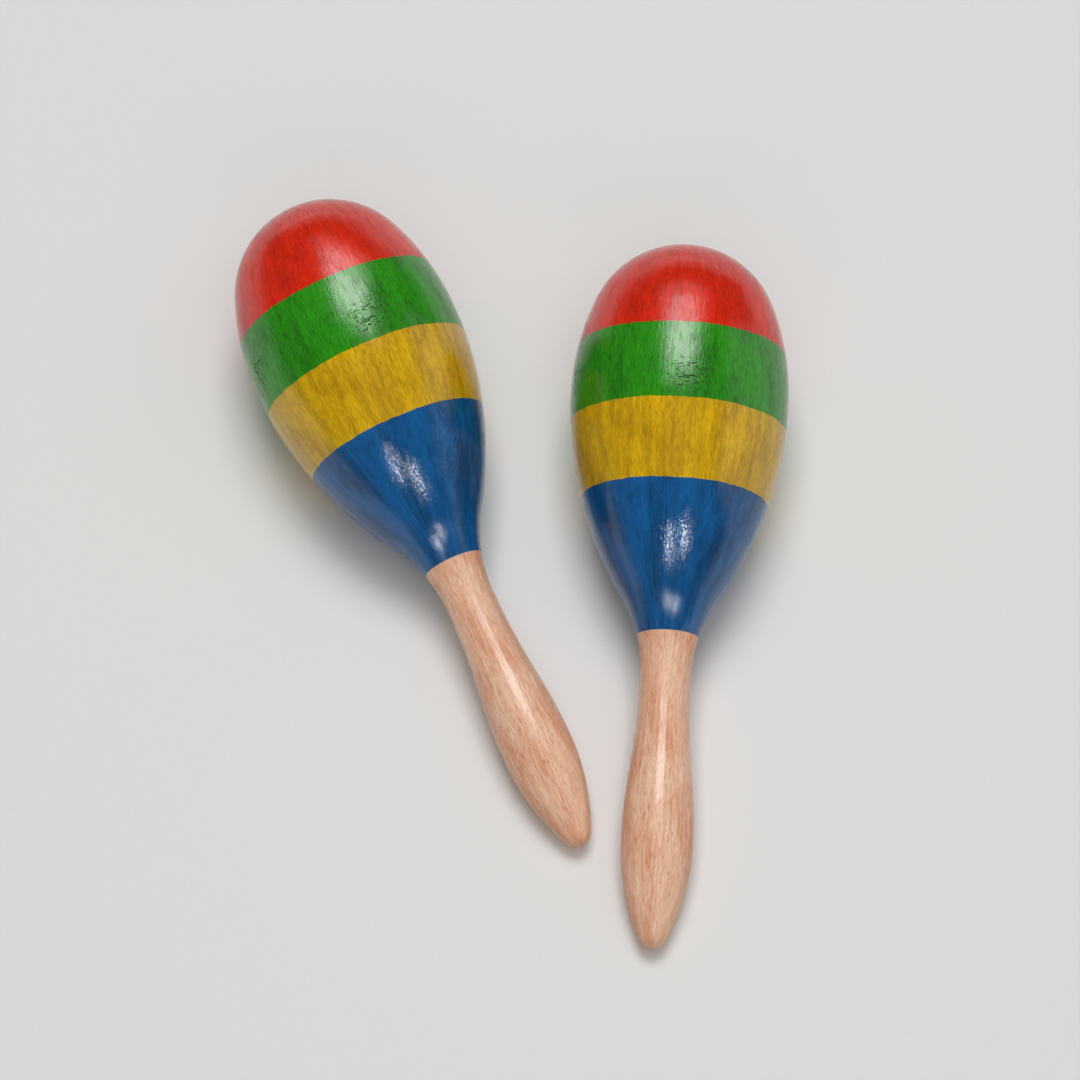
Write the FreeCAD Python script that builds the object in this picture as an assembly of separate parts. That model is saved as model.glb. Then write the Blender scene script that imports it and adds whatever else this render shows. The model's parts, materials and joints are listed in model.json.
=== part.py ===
import FreeCAD
import Part
import os
from collections import namedtuple
from math import acos, atan2, cos, degrees, hypot, pi, sin

# A pair of turned wooden maracas, lying side by side on a flat surface.
# Each maraca is a hollow painted head in two glued halves, a turned handle whose tenon is
# glued into the neck, four coats of coloured lacquer and a dozen loose seeds.
# Sizes are in millimetres. A station is a distance along a maraca's axis from the handle's tip.

# Outline of one maraca
HANDLE_LENGTH = 99.6            # tip to the joint with the head
HEAD_LENGTH = 130.0             # joint to the top of the crown
HEAD_DIAMETER = 70.0
WIDEST_BELOW_CROWN = 51.0
CROWN_INSET = 4.0               # how much smaller the crown's radius is than the head's
FLARE_RADIUS = 48.0             # hollow curve from the waist out to the head
TIP_RADIUS = 4.9
GRIP_DIAMETER = 22.6
GRIP_FROM_TIP = 34.0
WAIST_DIAMETER = 16.0
WAIST_BELOW_JOINT = 12.8
GRIP_SHARE = 0.44               # part of the fall from grip to waist that belongs to the grip's curve

# Walls and joints
WALL = 4.0
PAINT_THICKNESS = 0.25
SEAM_OVERLAP = 4.0              # length of the base's spigot inside the crown's rebate
TENON_DIAMETER = 11.0
TENON_LENGTH = 18.0
TENON_CHAMFER = 0.8

# Coloured bands, measured down from the crown; blue runs on to the joint
RED_BAND = 35.8
GREEN_BAND = 25.2
YELLOW_BAND = 24.9

# Loose seeds
SEED_DIAMETER = 5.0
SEED_CLEARANCE = 0.3            # to the wall and to each other
SEED_ROWS = 4                   # along the axis
SEED_COLUMNS = (-1, 0, 1)       # across it

# Where the two maracas lie: the left one's tip from the right one's, and both headings
LEFT_TIP_FROM_RIGHT = (-21.4, 34.0)
RIGHT_HEADING = -3.35           # degrees, turned left from +Y
LEFT_HEADING = 24.45

# Stations that follow from the sizes above
LENGTH = HANDLE_LENGTH + HEAD_LENGTH
JOINT = HANDLE_LENGTH
SOCKET_END = JOINT + TENON_LENGTH
RED_EDGE = LENGTH - RED_BAND
GREEN_EDGE = RED_EDGE - GREEN_BAND
YELLOW_EDGE = GREEN_EDGE - YELLOW_BAND
SEAM = GREEN_EDGE
SPIGOT_END = SEAM + SEAM_OVERLAP
CAVITY_INSET = PAINT_THICKNESS + WALL
SEED_INSET = CAVITY_INSET + SEED_CLEARANCE + SEED_DIAMETER / 2
SEED_PITCH = SEED_DIAMETER + 2 * SEED_CLEARANCE

# One arc of the outline. Its centre is (station, height above the axis), and its radius is
# negative where the outline is hollow.
OutlineArc = namedtuple("OutlineArc", "station height radius")


def maraca_outline():
    """Arcs from the handle's tip to the crown, each tangent to the next."""
    grip = GRIP_DIAMETER / 2
    waist = WAIST_DIAMETER / 2
    head = HEAD_DIAMETER / 2
    crown = head - CROWN_INSET
    waist_station = HANDLE_LENGTH - WAIST_BELOW_JOINT
    widest_station = LENGTH - WIDEST_BELOW_CROWN
    crown_station = LENGTH - crown

    # Below the grip's widest point one arc runs into the tip's round end.
    butt_span = GRIP_FROM_TIP - TIP_RADIUS
    butt = (butt_span ** 2 + grip ** 2 - TIP_RADIUS ** 2) / (2 * (grip - TIP_RADIUS))
    # From the grip to the waist two arcs share the fall, one round and one hollow.
    run = waist_station - GRIP_FROM_TIP
    fall = grip - waist
    both_radii = (run ** 2 + fall ** 2) / (2 * fall)
    upper_grip = GRIP_SHARE * both_radii
    lower_waist = both_radii - upper_grip
    # The flare meets the head's side arc, which ends level at the widest point.
    climb = head - waist
    reach = widest_station - waist_station
    side = (reach ** 2 + (climb - FLARE_RADIUS) ** 2 - FLARE_RADIUS ** 2) / (2 * climb)
    # The shoulder leaves the widest point level and meets the crown's sphere.
    shoulder_span = crown_station - widest_station
    shoulder = (shoulder_span ** 2 + head ** 2 - crown ** 2) / (2 * CROWN_INSET)

    return [
        OutlineArc(TIP_RADIUS, 0, TIP_RADIUS),
        OutlineArc(GRIP_FROM_TIP, grip - butt, butt),
        OutlineArc(GRIP_FROM_TIP, grip - upper_grip, upper_grip),
        OutlineArc(waist_station, waist + lower_waist, -lower_waist),
        OutlineArc(waist_station, waist + FLARE_RADIUS, -FLARE_RADIUS),
        OutlineArc(widest_station, head - side, side),
        OutlineArc(widest_station, head - shoulder, shoulder),
        OutlineArc(crown_station, 0, crown),
    ]


OUTLINE = maraca_outline()
BUTT_ARC = OUTLINE[1]
SIDE_ARC = OUTLINE[5]


def joining_angles():
    """Angle of the outward normal at the tip, at each join between arcs and at the crown."""
    angles = [pi]
    for arc, following in zip(OUTLINE, OUTLINE[1:]):
        difference = arc.radius - following.radius
        along = (following.station - arc.station) / difference
        outward = (following.height - arc.height) / difference
        angles.append(pi / 2 if arc.station == following.station else atan2(outward, along))
    return angles + [0.0]


ANGLES = joining_angles()


def arc_point(arc, angle, inset):
    """Point of an arc moved inwards by inset, in the plane of station (Z) and radius (X)."""
    radius = arc.radius - inset
    return FreeCAD.Vector(arc.height + radius * sin(angle), 0, arc.station + radius * cos(angle))


def outline_edges(inset, low, high):
    """Edges of the outline, moved inwards by inset, between two stations."""
    edges = []
    for arc, begin, end in zip(OUTLINE, ANGLES, ANGLES[1:]):
        radius = arc.radius - inset
        first = arc_point(arc, begin, inset).z
        last = arc_point(arc, end, inset).z
        if last <= low or first >= high:
            continue
        if first < low:
            begin = acos((low - arc.station) / radius)
        if last > high:
            end = acos((high - arc.station) / radius)
        points = [arc_point(arc, angle, inset) for angle in (begin, (begin + end) / 2, end)]
        edges.append(Part.Arc(*points).toShape())
    return edges


def outline_radius(inset, station):
    """Radius of the outline, moved inwards by inset, at one station."""
    for arc, begin, end in zip(OUTLINE, ANGLES, ANGLES[1:]):
        if arc_point(arc, begin, inset).z <= station <= arc_point(arc, end, inset).z:
            angle = acos((station - arc.station) / (arc.radius - inset))
            return arc_point(arc, angle, inset).x


def point(radius, station):
    return FreeCAD.Vector(radius, 0, station)


def lines(*points):
    return [Part.LineSegment(a, b).toShape() for a, b in zip(points, points[1:])]


def turned(edges):
    """Solid of revolution about the maraca's axis, from the edges of one closed section."""
    wire = Part.Wire(Part.__sortEdges__(edges))
    return Part.Face(wire).revolve(FreeCAD.Vector(), FreeCAD.Vector(0, 0, 1), 360)


def handle():
    """Grip, waist and the tenon that fills the neck's bore."""
    bore = TENON_DIAMETER / 2
    edges = outline_edges(0, 0, JOINT)
    edges += lines(
        point(outline_radius(0, JOINT), JOINT),
        point(bore, JOINT),
        point(bore, SOCKET_END - TENON_CHAMFER),
        point(bore - TENON_CHAMFER, SOCKET_END),
        point(0, SOCKET_END),
        point(0, 0),
    )
    return turned(edges)


def spigot_radius():
    return outline_radius(PAINT_THICKNESS + WALL / 2, SEAM)


def base_shell():
    """Lower half of the head: bored neck, flare and the spigot at the seam."""
    bore = TENON_DIAMETER / 2
    edges = outline_edges(PAINT_THICKNESS, JOINT, SEAM)
    edges += outline_edges(CAVITY_INSET, SOCKET_END, SPIGOT_END)
    edges += lines(
        point(outline_radius(PAINT_THICKNESS, SEAM), SEAM),
        point(spigot_radius(), SEAM),
        point(spigot_radius(), SPIGOT_END),
        point(outline_radius(CAVITY_INSET, SPIGOT_END), SPIGOT_END),
    )
    edges += lines(
        point(outline_radius(CAVITY_INSET, SOCKET_END), SOCKET_END),
        point(bore, SOCKET_END),
        point(bore, JOINT),
        point(outline_radius(PAINT_THICKNESS, JOINT), JOINT),
    )
    return turned(edges)


def crown_shell():
    """Upper half of the head, rebated to take the base's spigot."""
    outer_top = LENGTH - PAINT_THICKNESS
    inner_top = LENGTH - CAVITY_INSET
    edges = outline_edges(PAINT_THICKNESS, SEAM, outer_top)
    edges += outline_edges(CAVITY_INSET, SPIGOT_END, inner_top)
    edges += lines(point(0, outer_top), point(0, inner_top))
    edges += lines(
        point(outline_radius(CAVITY_INSET, SPIGOT_END), SPIGOT_END),
        point(spigot_radius(), SPIGOT_END),
        point(spigot_radius(), SEAM),
        point(outline_radius(PAINT_THICKNESS, SEAM), SEAM),
    )
    return turned(edges)


def paint_band(low, high):
    """Thin coat of lacquer round the head between two stations below the crown."""
    edges = outline_edges(0, low, high)
    edges += outline_edges(PAINT_THICKNESS, low, high)
    for station in (low, high):
        edges += lines(
            point(outline_radius(0, station), station),
            point(outline_radius(PAINT_THICKNESS, station), station),
        )
    return turned(edges)


def crown_paint():
    """The coat that closes over the crown."""
    edges = outline_edges(0, RED_EDGE, LENGTH)
    edges += outline_edges(PAINT_THICKNESS, RED_EDGE, LENGTH - PAINT_THICKNESS)
    edges += lines(point(0, LENGTH), point(0, LENGTH - PAINT_THICKNESS))
    edges += lines(
        point(outline_radius(0, RED_EDGE), RED_EDGE),
        point(outline_radius(PAINT_THICKNESS, RED_EDGE), RED_EDGE),
    )
    return turned(edges)


def resting_tilt():
    """Angle of the axis when the grip and the head's side both touch the ground."""
    run = SIDE_ARC.station - BUTT_ARC.station
    rise = SIDE_ARC.height - BUTT_ARC.height
    return acos((BUTT_ARC.radius - SIDE_ARC.radius) / hypot(run, rise)) - atan2(run, rise)


TILT = resting_tilt()


def resting_height():
    """Height of the handle's tip above the ground."""
    return BUTT_ARC.radius + BUTT_ARC.height * cos(TILT) - BUTT_ARC.station * sin(TILT)


def seeds():
    """Spheres in one layer on the lowest part of the cavity's wall, which faces local +Y."""
    lowest = SIDE_ARC.station - (SIDE_ARC.radius - SEED_INSET) * sin(TILT)
    placed = []
    for column in SEED_COLUMNS:
        for row in range(SEED_ROWS):
            stagger = abs(column) / 2
            station = lowest + (row - (SEED_ROWS - 1) / 2 + stagger) * SEED_PITCH
            distance = outline_radius(SEED_INSET, station)
            angle = column * SEED_PITCH / distance
            centre = FreeCAD.Vector(distance * sin(angle), distance * cos(angle), station)
            placed.append(Part.makeSphere(SEED_DIAMETER / 2, centre))
    return placed


def maraca_pieces():
    """Every piece of one maraca, standing on its handle's tip with its axis along +Z."""
    pieces = {
        "handle": handle(),
        "base_shell": base_shell(),
        "crown_shell": crown_shell(),
        "paint_blue": paint_band(JOINT, YELLOW_EDGE),
        "paint_yellow": paint_band(YELLOW_EDGE, GREEN_EDGE),
        "paint_green": paint_band(GREEN_EDGE, RED_EDGE),
        "paint_red": crown_paint(),
    }
    for number, seed in enumerate(seeds(), start=1):
        pieces[f"seed_{number:02d}"] = seed
    return pieces


def lying(tip_x, tip_y, heading):
    """Placement of a maraca that lies at its resting tilt with its tip at (tip_x, tip_y)."""
    lean = FreeCAD.Rotation(FreeCAD.Vector(1, 0, 0), degrees(TILT) - 90)
    turn = FreeCAD.Rotation(FreeCAD.Vector(0, 0, 1), heading)
    return FreeCAD.Placement(FreeCAD.Vector(tip_x, tip_y, resting_height()), turn.multiply(lean))


def placed_pair():
    """All nodes of the pair, with the middle of its footprint at the origin."""
    places = {
        "right": lying(0, 0, RIGHT_HEADING),
        "left": lying(*LEFT_TIP_FROM_RIGHT, LEFT_HEADING),
    }
    form = turned(outline_edges(0, 0, LENGTH) + lines(point(0, 0), point(0, LENGTH)))
    forms = [form.transformed(place.toMatrix()) for place in places.values()]
    box = Part.makeCompound(forms).optimalBoundingBox(False, False)
    to_origin = FreeCAD.Placement(FreeCAD.Vector(-box.Center.x, -box.Center.y, 0), FreeCAD.Rotation())

    pieces = maraca_pieces()
    nodes = {}
    for side, place in places.items():
        for name, solid in pieces.items():
            nodes[f"{side}_{name}"] = solid.transformed(to_origin.multiply(place).toMatrix())
    return nodes


os.makedirs("parts", exist_ok=True)
for node, shape in placed_pair().items():
    shape.exportStep(f"parts/{node}.step")
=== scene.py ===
import json
from collections import namedtuple
from math import cos, pi, radians, sin, tan

import bpy
from mathutils import Matrix, Vector


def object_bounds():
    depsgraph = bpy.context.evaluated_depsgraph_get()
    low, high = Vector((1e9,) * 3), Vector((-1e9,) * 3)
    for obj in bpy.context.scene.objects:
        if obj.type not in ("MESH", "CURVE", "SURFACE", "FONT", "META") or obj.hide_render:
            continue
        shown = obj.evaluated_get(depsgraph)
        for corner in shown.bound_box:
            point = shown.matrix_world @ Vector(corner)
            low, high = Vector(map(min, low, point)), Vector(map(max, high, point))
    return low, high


# Looks for a pair of lacquered wooden maracas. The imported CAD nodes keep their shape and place;
# this script gives each one its material and sets the stage, the lights and the camera.
# Lengths are in metres, angles in degrees and colours in linear light. A station is a distance
# along a maraca's axis, counted from the tip of its handle.

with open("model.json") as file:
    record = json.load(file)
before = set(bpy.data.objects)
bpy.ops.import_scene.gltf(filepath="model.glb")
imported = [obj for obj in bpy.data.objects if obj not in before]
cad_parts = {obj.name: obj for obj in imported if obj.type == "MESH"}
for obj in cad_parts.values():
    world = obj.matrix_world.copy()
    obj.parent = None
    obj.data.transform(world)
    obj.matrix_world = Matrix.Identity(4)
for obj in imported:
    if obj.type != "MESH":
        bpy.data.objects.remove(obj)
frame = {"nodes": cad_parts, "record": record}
cad_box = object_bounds()

SIDES = ("right", "left")

# Each coloured lacquer, from the crown down: its colour and that of the streaks in it, how much
# clouds, bands, lines and fibres darken it, and how dull and how rippled the coat over it is
Lacquer = namedtuple("Lacquer", "colour streaks shares coat_roughness ripple")
LACQUERS = {
    "red": Lacquer((0.900, 0.026, 0.004), (0.400, 0.008, 0.003), (0.30, 0.24, 0.48, 0.40), 0.10, 2.0),
    "green": Lacquer((0.030, 0.380, 0.006), (0.010, 0.120, 0.006), (0.34, 0.28, 0.42, 0.45), 0.10, 2.0),
    "yellow": Lacquer((0.860, 0.535, 0.003), (0.390, 0.205, 0.003), (0.34, 0.36, 0.40, 0.42), 0.10, 2.0),
    "blue": Lacquer((0.009, 0.134, 0.410), (0.003, 0.036, 0.105), (0.50, 0.22, 0.32, 0.22), 0.05, 0.9),
}
BAND_ORDER = tuple(LACQUERS)

# Each wood: pale and dark grain and the flecks in it, and how much clear coat it has
Wood = namedtuple("Wood", "pale dark fleck coat")
HANDLE_WOOD = Wood((0.960, 0.665, 0.490), (0.660, 0.265, 0.145), (0.430, 0.160, 0.075), 0.80)
BARE_WOOD = Wood((0.720, 0.470, 0.300), (0.520, 0.270, 0.150), (0.300, 0.130, 0.065), 0.0)
SEED_COLOURS = ((0.060, 0.026, 0.010), (0.160, 0.080, 0.035))
SEED_MOTTLES = 600.0            # to the metre
SEED_PITS = 2200.0

# Noise drawn out along the axis: per_metre streaks to the metre of girth, each 1 / squash times
# as long as it is wide. The pattern goes from 0 to 1 as the noise goes from low to high.
Streaks = namedtuple("Streaks", "per_metre squash detail roughness low high")
LACQUER_FIGURE = {
    "clouds": Streaks(110.0, 0.50, 5.0, 0.60, 0.35, 0.68),
    "bands": Streaks(420.0, 0.10, 5.0, 0.60, 0.35, 0.68),
    "lines": Streaks(2000.0, 0.13, 5.0, 0.70, 0.50, 0.68),
    "fibres": Streaks(3800.0, 0.12, 3.0, 0.55, 0.35, 0.65),
}
WOOD_FIGURE = {
    "clouds": Streaks(130.0, 0.30, 5.0, 0.60, 0.36, 0.64),
    "bands": Streaks(1400.0, 0.05, 4.0, 0.60, 0.37, 0.63),
    "fibres": Streaks(3000.0, 0.09, 4.0, 0.65, 0.41, 0.59),
    "flecks": Streaks(3600.0, 0.11, 2.0, 0.55, 0.56, 0.68),
}
WOOD_SHARES = {"clouds": 0.38, "bands": 0.30, "fibres": 0.32}
FLECK_STRENGTH = 0.55
DULL_STREAKS = Streaks(1300.0, 0.12, 4.0, 0.55, 0.45, 0.70)
DULLED_COAT = 0.55              # the coat that is left in the dull streaks
RIPPLES = (750.0, 0.16, 3.0, 0.55)          # per_metre, squash, detail and roughness

# The cylinders that the grain is wrapped round: of the heads' lacquer and of the woods
GRAIN_RADIUS = 0.030
HANDLE_RADIUS = 0.010

# Relief: how far each surface's bumps rise, and what raises or sinks them, as shares of that
LACQUER_RELIEF = 0.00002
FIBRE_RISE = 0.25
LINE_DEPTH = 0.35
CHIP_DEPTH = 1.5
GROOVE_DEPTH = 0.4
CRACKLE_RISE = 1.2
WOOD_RELIEF = 0.000003
WOOD_FIBRE_RISE = 0.6
WOOD_FLECK_DEPTH = 0.5
SEED_RELIEF = 0.00005

# Roughness from the smoothest to the roughest places, and the clear coats over the surfaces
LACQUER_ROUGHNESS = (0.45, 0.60)
WOOD_ROUGHNESS = (0.42, 0.55)
SEED_ROUGHNESS = (0.4, 0.6)
LACQUER_COAT_IOR = 1.62
WOOD_COAT_IOR = 1.5
WOOD_COAT_ROUGHNESS = 0.06
THINNEST_WOOD_COAT = 0.7        # as a share of the full coat

# The painted edges between lacquers, and the tool line in the blue one, whose groove is darkened with
# painted shade
EDGE_SOFTNESS = 0.00012
EDGE_WANDER = 0.00015
WANDERS = 160.0                 # to the metre
NECK_LINE = 0.0083              # up from the joint with the handle
NECK_LINE_WIDTH = 0.0006
# how dark the painted shade in the tool line's groove is
NECK_LINE_PAINTED_SHADE = 0.25

# Where the coat is chipped or crackled; the angle is counted from the top
Spot = namedtuple("Spot", "station angle radius")
WORN_SPOTS = (Spot(0.1760, 5, 0.0085), Spot(0.1800, -70, 0.0065))
CRACKLED_SPOT = Spot(0.128, 2, 0.028)
SPOT_CORE = 0.35                # the share of a spot's radius that is fully worn
SPECKS = (650.0, 650.0, 1500.0)             # to the metre, round and along the axis
SPECK_EDGE = (0.555, 0.585)                 # the noise levels between which the coat goes
CRACKLE = (1300.0, 1300.0, 1300.0)
CRACK_EDGE = (0.48, 0.53)
CRACKED_LOSS = 0.85             # the share of the coat that is gone in the cracks
CHIP_COLOUR = (0.030, 0.045, 0.022)
CHIP_STRENGTH = 0.75

# The handle's coat: hands wear it off the grip's end, and it was put on thin by the head
COAT_WORN = (0.030, 0.050, 0.15, 1.0)       # from and to this station, and the coat at each
COAT_THINNED = (0.076, 0.090, 1.0, 0.35)

# Camera
FRAMING_OFFSET = Vector((0.0095, 0.0215, 0.0))   # aimed point on the floor, from the box's middle
CAMERA_DISTANCE = 1.3656
CAMERA_ELEVATION = 64.49
CAMERA_LENS = 139.8             # mm, on a 36 mm wide sensor
SENSOR_WIDTH = 36.0

# Studio
LIGHT_DISTANCE = 4.0
FLOOR_SIZE = 40.0
FLOOR_FADE = (0.6, 2.5)         # from the lit floor to the glowing sweep
FLOOR_COLOURS = ((0.776, 0.783, 0.796), (0.788, 0.795, 0.808))
FLOOR_GRAIN = 900.0             # to the metre
BACKDROP = (0.690, 0.690, 0.676)
AMBIENT = (0.128, 0.120, 0.088)

# The lights face the maracas; width and height are the angles that they are seen at. Some only
# light matte surfaces, and the others only show in glossy ones.
Softbox = namedtuple("Softbox", "name azimuth elevation width height radiance")
MATTE_LIGHTS = (
    Softbox("key", 0, 75, 25, 25, 8.4),
    Softbox("front_fill", 180, 70, 30, 30, 2.2),
    Softbox("side_fill", 90, 60, 40, 40, 0.45),
    Softbox("low_front_fill", 175, 42, 48, 12, 1.5),
)
GLOSS_PANELS = (
    Softbox("overhead_box", 2, 66, 27, 41, 2.5),
    Softbox("overhead_core", 2, 70, 25, 23, 3.6),
    Softbox("overhead_glow", 2, 57, 38, 38, 0.8),
    Softbox("front_panel_left", 189, 43, 6, 12, 18.0),
    Softbox("front_panel_right", 161, 43, 6, 12, 18.0),
    Softbox("right_wall", 85, 15, 56, 50, 0.5),
    Softbox("back_sweep", 0, 2, 80, 12, 0.4),
    Softbox("back_glow", 0, 7, 66, 22, 0.35),
)


class Maraca:
    """Where one maraca lies: its tip, its axis and the stations of its lacquer bands."""

    def __init__(self, side):
        self.side = side
        mount = next(m for m in frame["record"]["mounts"] if m["name"] == f"{side}_waist")
        waist = Vector(mount["pos_m"])
        axis = -Vector(mount["axis"]).normalized()
        down = (Vector((0, 0, -1)) + axis * axis.z).normalized()
        across = down.cross(axis)
        self.rotation = Matrix((across, down, axis)).transposed().to_euler("XYZ")

        def reach(node):
            vertices = frame["nodes"][f"{side}_{node}"].data.vertices
            stations = [(v.co - waist).dot(axis) for v in vertices]
            return min(stations), max(stations)

        to_tip = reach("handle")[0]
        self.tip = waist + axis * to_tip
        self.bands = {}
        for band in BAND_ORDER:
            low, high = reach(f"paint_{band}")
            self.bands[band] = (low - to_tip, high - to_tip)
        self.joint = self.bands["blue"][0]


class Graph:
    """Adds shader nodes to one material or world and joins them up."""

    def __init__(self, owner):
        owner.use_nodes = True
        self.owner = owner
        self.tree = owner.node_tree
        self.tree.nodes.clear()

    def put(self, socket, value):
        if isinstance(value, bpy.types.NodeSocket):
            self.tree.links.new(value, socket)
        else:
            socket.default_value = value

    def add(self, kind, inputs=None, **settings):
        node = self.tree.nodes.new("ShaderNode" + kind)
        for name, value in settings.items():
            setattr(node, name, value)
        for name, value in (inputs or {}).items():
            self.put(node.inputs[name], value)
        return node

    def math(self, operation, a, b=0.0):
        return self.add("Math", {0: a, 1: b}, operation=operation).outputs[0]

    def plus(self, a, b):
        return self.math("ADD", a, b)

    def minus(self, a, b):
        return self.math("SUBTRACT", a, b)

    def times(self, a, b):
        return self.math("MULTIPLY", a, b)

    def vector(self, operation, a, b=(0.0, 0.0, 0.0), output="Vector"):
        return self.add("VectorMath", {0: a, 1: b}, operation=operation).outputs[output]

    def noise(self, vector, scale=1.0, detail=4.0, roughness=0.55):
        inputs = {"Vector": vector, "Scale": scale, "Detail": detail, "Roughness": roughness}
        return self.add("TexNoise", inputs).outputs["Fac"]

    def between(self, value, low, high, to_low=0.0, to_high=1.0):
        """value, eased so that low..high becomes to_low..to_high, and held at both ends."""
        inputs = {"Value": value, "From Min": low, "From Max": high,
                  "To Min": to_low, "To Max": to_high}
        return self.add("MapRange", inputs, interpolation_type="SMOOTHSTEP").outputs["Result"]

    def mix(self, factor, a, b):
        """Colour a where factor is 0, and b where it is 1."""
        node = self.add("Mix", data_type="RGBA")
        self.put(node.inputs["Factor"], factor)
        colours = [s for s in node.inputs if s.type == "RGBA"]
        for socket, value in zip(colours, (a, b)):
            self.put(socket, (*value, 1.0) if isinstance(value, tuple) else value)
        return next(s for s in node.outputs if s.type == "RGBA")

    def bump(self, height, distance):
        return self.add("Bump", {"Height": height, "Distance": distance}).outputs["Normal"]

    def finish(self, **inputs):
        """The material, its surface a Principled shader with these inputs."""
        inputs = {name.replace("_", " "): value for name, value in inputs.items()}
        shader = self.add("BsdfPrincipled", inputs)
        self.add("OutputMaterial", {"Surface": shader.outputs["BSDF"]})
        return self.owner


def axis_coordinates(graph, maraca, radius):
    """A place wrapped round a cylinder of this radius on the maraca's axis, and its station."""
    place = graph.add("TexCoord").outputs["Object"]
    inputs = {"Vector": place, "Location": maraca.tip, "Rotation": maraca.rotation}
    own = graph.add("Mapping", inputs, vector_type="TEXTURE").outputs["Vector"]
    x, y, station = graph.add("SeparateXYZ", {"Vector": own}).outputs
    around = graph.vector("NORMALIZE", graph.add("CombineXYZ", {"X": x, "Y": y}).outputs[0])
    ring = graph.vector("MULTIPLY", around, (radius,) * 3)
    along = graph.add("CombineXYZ", {"Z": station}).outputs[0]
    return graph.vector("ADD", ring, along), station


def drawn_noise(graph, wrapped, per_metre, squash, detail, roughness):
    """Noise drawn out along the axis."""
    coordinates = graph.vector("MULTIPLY", wrapped, (per_metre, per_metre, per_metre * squash))
    return graph.noise(coordinates, detail=detail, roughness=roughness)


def streaks(graph, wrapped, kind):
    """These Streaks as a pattern of 0 to 1."""
    noise = drawn_noise(graph, wrapped, kind.per_metre, kind.squash, kind.detail, kind.roughness)
    return graph.between(noise, kind.low, kind.high)


def blend(graph, figure, shares):
    """The figure's patterns, added up by their shares."""
    total = 0.0
    for name, share in shares.items():
        total = graph.plus(total, graph.times(figure[name], share))
    return total


def spot(graph, wrapped, place):
    """1 at a Spot on the lacquer, fading to 0 at its radius."""
    angle = radians(place.angle)
    centre = Vector((sin(angle), -cos(angle), 0)) * GRAIN_RADIUS + Vector((0, 0, place.station))
    offset = graph.vector("SUBTRACT", wrapped, centre)
    distance = graph.vector("LENGTH", offset, output="Value")
    return graph.between(distance, place.radius, place.radius * SPOT_CORE)


def painted_colour(graph, maraca, band, wrapped, station, dark):
    """The band's stained colour, running into its neighbours' across slightly wandering edges."""

    def stained(name):
        return graph.mix(dark, LACQUERS[name].colour, LACQUERS[name].streaks)

    wander = graph.between(graph.noise(wrapped, WANDERS, 3.0), 0.3, 0.7, -EDGE_WANDER, EDGE_WANDER)
    wavy = graph.plus(station, wander)
    colour = stained(band)
    position = BAND_ORDER.index(band)
    low, high = maraca.bands[band]
    if position > 0:
        edge = graph.between(wavy, high - EDGE_SOFTNESS, high + EDGE_SOFTNESS)
        colour = graph.mix(edge, colour, stained(BAND_ORDER[position - 1]))
    if position < len(BAND_ORDER) - 1:
        edge = graph.between(wavy, low + EDGE_SOFTNESS, low - EDGE_SOFTNESS)
        colour = graph.mix(edge, colour, stained(BAND_ORDER[position + 1]))
    return colour


def worn_specks(graph, wrapped):
    """1 in small clusters of specks, where the coat is chipped down to the stain."""
    cluster = 0.0
    for place in WORN_SPOTS:
        cluster = graph.math("MAXIMUM", cluster, spot(graph, wrapped, place))
    speckle = graph.noise(graph.vector("MULTIPLY", wrapped, SPECKS), detail=4.0, roughness=0.6)
    return graph.times(cluster, graph.between(speckle, *SPECK_EDGE))


def neck_details(graph, maraca, wrapped, station, colour, height, coat):
    """The blue lacquer's tool line round the neck, its groove darkened with painted shade, and fine
    crackle across its thicker coat.
    """
    offset = graph.math("ABSOLUTE", graph.minus(station, maraca.joint + NECK_LINE))
    groove = graph.between(offset, NECK_LINE_WIDTH, 0.0)
    # Painted shade: the groove is darkened towards the blue's streak colour.
    colour = graph.mix(graph.times(groove, NECK_LINE_PAINTED_SHADE), colour, LACQUERS["blue"].streaks)
    height = graph.minus(height, graph.times(groove, GROOVE_DEPTH))
    crackle = graph.noise(graph.vector("MULTIPLY", wrapped, CRACKLE), detail=3.0)
    height = graph.plus(height, graph.times(crackle, CRACKLE_RISE))
    cracks = graph.between(crackle, *CRACK_EDGE, to_high=CRACKED_LOSS)
    broken = graph.times(cracks, spot(graph, wrapped, CRACKLED_SPOT))
    coat = graph.times(coat, graph.minus(1.0, broken))
    return colour, height, coat


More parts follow.
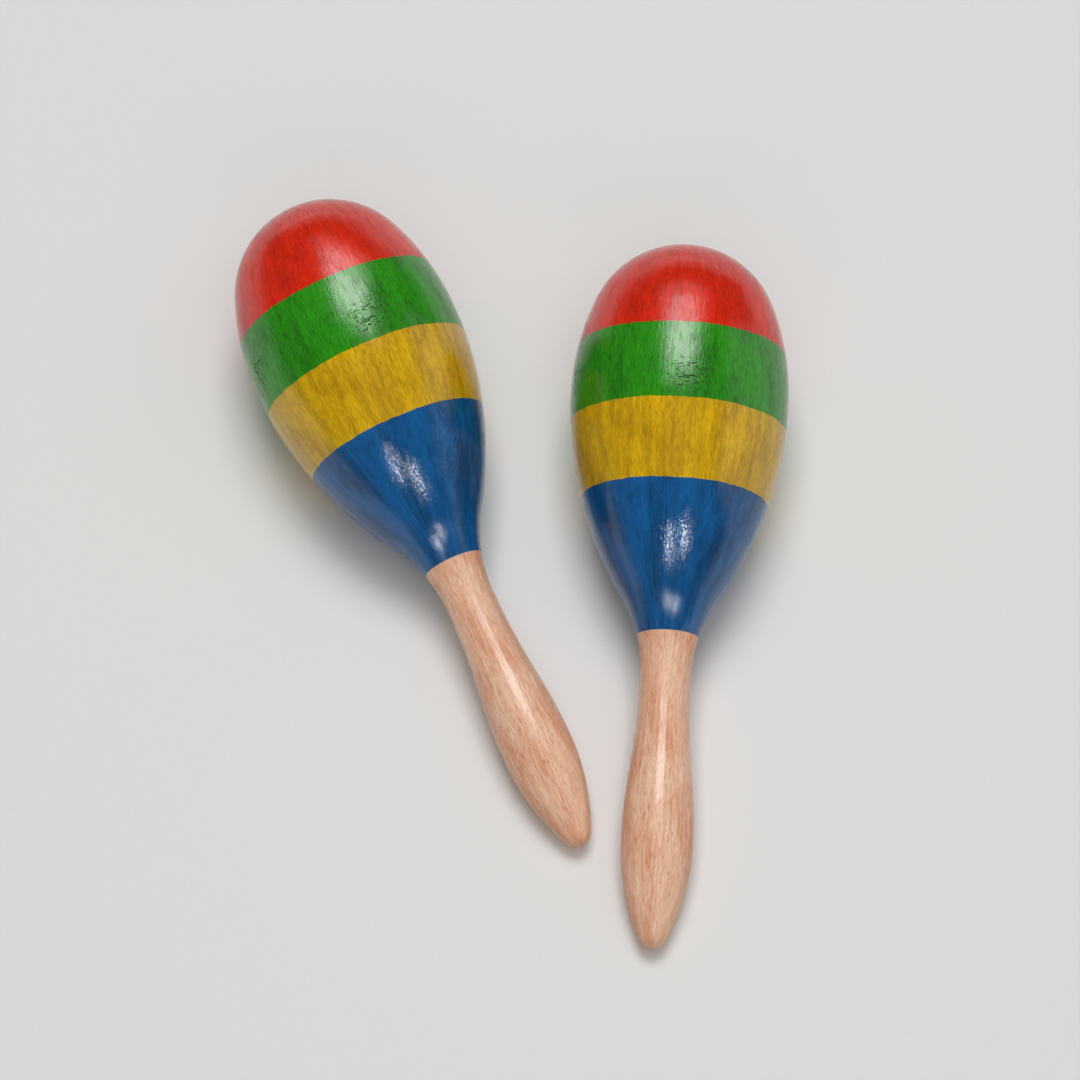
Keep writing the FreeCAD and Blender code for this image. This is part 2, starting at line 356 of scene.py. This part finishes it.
def lacquer(maraca, band):
    """Translucent coloured lacquer over turned wood: streaks, worn specks and a gloss coat."""
    kind = LACQUERS[band]
    graph = Graph(bpy.data.materials.new(f"{maraca.side}_lacquer_{band}"))
    wrapped, station = axis_coordinates(graph, maraca, GRAIN_RADIUS)
    figure = {name: streaks(graph, wrapped, streak) for name, streak in LACQUER_FIGURE.items()}
    dark = blend(graph, figure, dict(zip(LACQUER_FIGURE, kind.shares)))
    colour = painted_colour(graph, maraca, band, wrapped, station, dark)
    worn = worn_specks(graph, wrapped)
    colour = graph.mix(graph.times(worn, CHIP_STRENGTH), colour, CHIP_COLOUR)

    # The coat dulls along the grain. It ripples, and sinks into the dark lines and the chips.
    dull = streaks(graph, wrapped, DULL_STREAKS)
    coat = graph.times(graph.between(dull, 0, 1, 1.0, DULLED_COAT), graph.minus(1.0, worn))
    ripple = drawn_noise(graph, wrapped, *RIPPLES)
    ripple = graph.plus(ripple, graph.times(figure["fibres"], FIBRE_RISE))
    height = graph.times(ripple, kind.ripple)
    height = graph.minus(height, graph.times(figure["lines"], LINE_DEPTH))
    height = graph.minus(height, graph.times(worn, CHIP_DEPTH))
    if band == "blue":
        colour, height, coat = neck_details(graph, maraca, wrapped, station, colour, height, coat)
    normal = graph.bump(height, LACQUER_RELIEF)
    roughness = graph.between(figure["bands"], 0, 1, *LACQUER_ROUGHNESS)
    return graph.finish(Base_Color=colour, Roughness=roughness, Normal=normal, Specular_IOR_Level=0.0,
                        Coat_Weight=coat, Coat_Roughness=kind.coat_roughness,
                        Coat_IOR=LACQUER_COAT_IOR, Coat_Normal=normal)


def clear_wood(maraca, name, wood):
    """Pale turned wood with short brown flecks along the grain, under a clear coat."""
    graph = Graph(bpy.data.materials.new(f"{maraca.side}_{name}"))
    wrapped, station = axis_coordinates(graph, maraca, HANDLE_RADIUS)
    figure = {part: streaks(graph, wrapped, streak) for part, streak in WOOD_FIGURE.items()}
    colour = graph.mix(blend(graph, figure, WOOD_SHARES), wood.dark, wood.pale)
    colour = graph.mix(graph.times(figure["flecks"], FLECK_STRENGTH), colour, wood.fleck)
    height = graph.times(figure["fibres"], WOOD_FIBRE_RISE)
    height = graph.minus(height, graph.times(figure["flecks"], WOOD_FLECK_DEPTH))
    normal = graph.bump(height, WOOD_RELIEF)
    shine = graph.between(figure["clouds"], 0, 1, THINNEST_WOOD_COAT * wood.coat, wood.coat)
    shine = graph.times(shine, graph.between(station, *COAT_WORN))
    shine = graph.times(shine, graph.between(station, *COAT_THINNED))
    roughness = graph.between(figure["bands"], 0, 1, *WOOD_ROUGHNESS)
    return graph.finish(Base_Color=colour, Roughness=roughness, Normal=normal, Specular_IOR_Level=0.2,
                        Coat_Weight=shine, Coat_Roughness=WOOD_COAT_ROUGHNESS,
                        Coat_IOR=WOOD_COAT_IOR, Coat_Normal=normal)


def seed_skin(maraca):
    """Hard brown seed coat, mottled and slightly pitted."""
    graph = Graph(bpy.data.materials.new(f"{maraca.side}_seed_skin"))
    place = graph.add("TexCoord").outputs["Object"]
    mottle = graph.between(graph.noise(place, SEED_MOTTLES), 0.35, 0.65)
    pits = graph.between(graph.noise(place, SEED_PITS, 2.0), 0.55, 0.70)
    normal = graph.bump(graph.minus(1.0, pits), SEED_RELIEF)
    roughness = graph.between(mottle, 0, 1, *SEED_ROUGHNESS)
    return graph.finish(Base_Color=graph.mix(mottle, *SEED_COLOURS), Roughness=roughness, Normal=normal)


def dress(node, material):
    """The CAD node's mesh gets this material."""
    mesh = frame["nodes"][node].data
    mesh.materials.clear()
    mesh.materials.append(material)


def dress_maraca(side):
    """Every node of one maraca gets its material."""
    maraca = Maraca(side)
    bare_wood = clear_wood(maraca, "bare_wood", BARE_WOOD)
    dress(f"{side}_handle", clear_wood(maraca, "handle_wood", HANDLE_WOOD))
    dress(f"{side}_base_shell", bare_wood)
    dress(f"{side}_crown_shell", bare_wood)
    for band in BAND_ORDER:
        dress(f"{side}_paint_{band}", lacquer(maraca, band))
    skin = seed_skin(maraca)
    for node in frame["nodes"]:
        if node.startswith(f"{side}_seed"):
            dress(node, skin)


def floor():
    """A plain pale studio floor, which glows far off as a lit sweep does, so that it has no horizon."""
    half = FLOOR_SIZE / 2
    corners = [(-half, -half, 0), (half, -half, 0), (half, half, 0), (-half, half, 0)]
    mesh = bpy.data.meshes.new("floor")
    mesh.from_pydata(corners, [], [(0, 1, 2, 3)])
    sheet = bpy.data.objects.new("floor", mesh)
    bpy.context.scene.collection.objects.link(sheet)
    graph = Graph(bpy.data.materials.new("studio_floor"))
    place = graph.add("TexCoord").outputs["Object"]
    paper = graph.mix(graph.between(graph.noise(place, FLOOR_GRAIN, 3.0), 0.3, 0.7), *FLOOR_COLOURS)
    far = graph.between(graph.vector("LENGTH", place, output="Value"), *FLOOR_FADE)
    colour = graph.mix(far, paper, (0.0, 0.0, 0.0))
    mesh.materials.append(graph.finish(Base_Color=colour, Roughness=0.9, Specular_IOR_Level=0.1,
                                       Emission_Color=(*BACKDROP, 1.0), Emission_Strength=far))


def direction(azimuth, elevation):
    """Unit vector away from the maracas: azimuth 0 is +Y, 90 is +X."""
    a, e = radians(azimuth), radians(elevation)
    return Vector((sin(a) * cos(e), cos(a) * cos(e), sin(e)))


def place_light(softbox, matte):
    """Set up one softbox, to light matte surfaces or else to show in glossy ones."""
    towards = direction(softbox.azimuth, softbox.elevation)
    data = bpy.data.lights.new(softbox.name, "AREA")
    data.shape = "RECTANGLE"
    data.size = 2 * LIGHT_DISTANCE * tan(radians(softbox.width / 2))
    data.size_y = 2 * LIGHT_DISTANCE * tan(radians(softbox.height / 2))
    data.energy = pi * data.size * data.size_y * softbox.radiance
    light = bpy.data.objects.new(softbox.name, data)
    light.location = towards * LIGHT_DISTANCE
    light.rotation_euler = towards.to_track_quat("Z", "Y").to_euler()
    light.visible_camera = False
    light.visible_diffuse = matte
    light.visible_glossy = not matte
    bpy.context.scene.collection.objects.link(light)


def studio():
    """Light as in a small product studio: steep soft key and fill, and panels the gloss mirrors."""
    for softbox in MATTE_LIGHTS:
        place_light(softbox, matte=True)
    for softbox in GLOSS_PANELS:
        place_light(softbox, matte=False)
    world = bpy.data.worlds.new("studio_air")
    bpy.context.scene.world = world
    graph = Graph(world)
    seen = graph.add("LightPath").outputs["Is Camera Ray"]
    background = graph.add("Background", {"Color": graph.mix(seen, AMBIENT, BACKDROP)})
    graph.add("OutputWorld", {"Surface": background.outputs[0]})
    bpy.context.scene.view_settings.view_transform = "Standard"


def camera():
    """The camera looks down at the pair from the handles' side."""
    low, high = cad_box
    middle = Vector(((low.x + high.x) / 2, (low.y + high.y) / 2, low.z))
    towards = direction(180, CAMERA_ELEVATION)
    data = bpy.data.cameras.new("camera")
    data.lens = CAMERA_LENS
    data.sensor_width = SENSOR_WIDTH
    eye = bpy.data.objects.new("camera", data)
    eye.location = middle + FRAMING_OFFSET + towards * CAMERA_DISTANCE
    eye.rotation_euler = (-towards).to_track_quat("-Z", "Y").to_euler()
    bpy.context.scene.collection.objects.link(eye)
    bpy.context.scene.camera = eye


for side in SIDES:
    dress_maraca(side)
floor()
studio()
camera()
